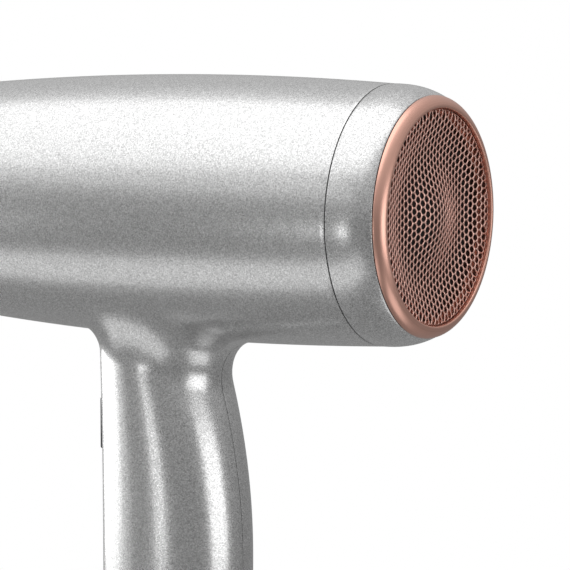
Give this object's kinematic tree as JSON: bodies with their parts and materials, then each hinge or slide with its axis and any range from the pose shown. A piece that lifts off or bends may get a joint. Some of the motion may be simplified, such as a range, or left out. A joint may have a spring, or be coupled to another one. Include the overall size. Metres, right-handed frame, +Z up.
{
  "type": "hair dryer",
  "caption": "Hand-held hair dryer: round silver barrel with a straight handle, an axial fan and wire heater, and a removable rear cover with a copper ring and mesh.",
  "frame": {"origin": "middle of the grip, on the line the handle hangs from, 100 mm below the barrel's axis", "axes": "+X along the barrel from the hot air outlet to the air inlet, +Z up from the handle to the barrel, +Y to the right-hand half"},
  "size_m": [0.1945, 0.076, 0.2031],
  "materials": {
    "silver_paint": "fine metallic silver lacquer with a flake sparkle",
    "copper_trim": "polished rose copper plating",
    "copper_mesh": "satin rose copper wire",
    "dark_plastic": "satin near-black plastic",
    "black_nylon": "moulded black nylon",
    "filter_fabric": "fine dark lint mesh",
    "mica": "pale brown mica sheet",
    "heating_wire": "oxidised resistance wire",
    "steel": "plain zinc-plated steel",
    "bronze": "sintered bronze and copper winding",
    "ferrite": "dark grey ferrite",
    "circuit_board": "green solder resist",
    "capacitor_case": "yellow film capacitor case",
    "rubber": "matte black rubber"
  },
  "bodies": {
    "dryer": {"left_housing_half": "silver_paint", "right_housing_half": "silver_paint", "outlet_ring": "dark_plastic", "outlet_grille": "dark_plastic", "inner_guard": "dark_plastic", "handle_base_cap": "dark_plastic", "fan_duct": "black_nylon", "motor_end_cap": "black_nylon", "cord_clamp": "black_nylon", "cool_shot_switch": "black_nylon", "speed_switch": "black_nylon", "heat_switch": "black_nylon", "heat_shield": "mica", "heater_board_upright": "mica", "heater_board_level": "mica", "front_heating_coil": "heating_wire", "rear_heating_coil": "heating_wire", "thermal_cutout": "steel", "motor_can": "steel", "button_spring": "steel", "thermal_fuse": "capacitor_case", "suppression_capacitor": "capacitor_case", "motor_front_bush": "bronze", "motor_rear_bush": "bronze", "motor_magnet_1": "ferrite", "motor_magnet_2": "ferrite", "control_board": "circuit_board", "cord_gland": "rubber", "base_screw_left": "steel", "base_screw_right": "steel", "board_screw_1": "steel", "board_screw_2": "steel", "clamp_screw_1": "steel", "clamp_screw_2": "steel", "guard_screw_1": "steel", "guard_screw_2": "steel", "guard_screw_3": "steel", "guard_screw_4": "steel"},
    "rear_cover": {"rear_cover": "silver_paint", "copper_trim_ring": "copper_trim", "inlet_mesh": "copper_mesh", "lint_filter": "filter_fabric"},
    "fan": {"fan_rotor": "black_nylon", "motor_shaft": "steel", "motor_armature": "bronze"},
    "cool_shot_button": {"cool_shot_button": "dark_plastic"},
    "speed_slider": {"speed_slider": "dark_plastic"},
    "heat_slider": {"heat_slider": "dark_plastic"}
  },
  "joints": [
    {"name": "fan_spin", "type": "hinge", "parent": "dryer", "child": "fan", "pos_m": [0.03, 0, 0.1], "axis": [-1, 0, 0], "continuous": true},
    {"name": "rear_cover_pull", "type": "slide", "parent": "dryer", "child": "rear_cover", "axis": [1, 0, 0], "range_m": [0, 0.03]},
    {"name": "cool_shot_press", "type": "slide", "parent": "dryer", "child": "cool_shot_button", "axis": [1, 0, 0], "range_m": [0, 0.0015], "stiffness_N_per_m": 600, "springref_m": -0.001, "deforming": ["button_spring"]},
    {"name": "speed_slide", "type": "slide", "parent": "dryer", "child": "speed_slider", "axis": [0, 0, 1], "range_m": [0, 0.006]},
    {"name": "heat_slide", "type": "slide", "parent": "dryer", "child": "heat_slider", "axis": [0, 0, 1], "range_m": [0, 0.006]}
  ]
}
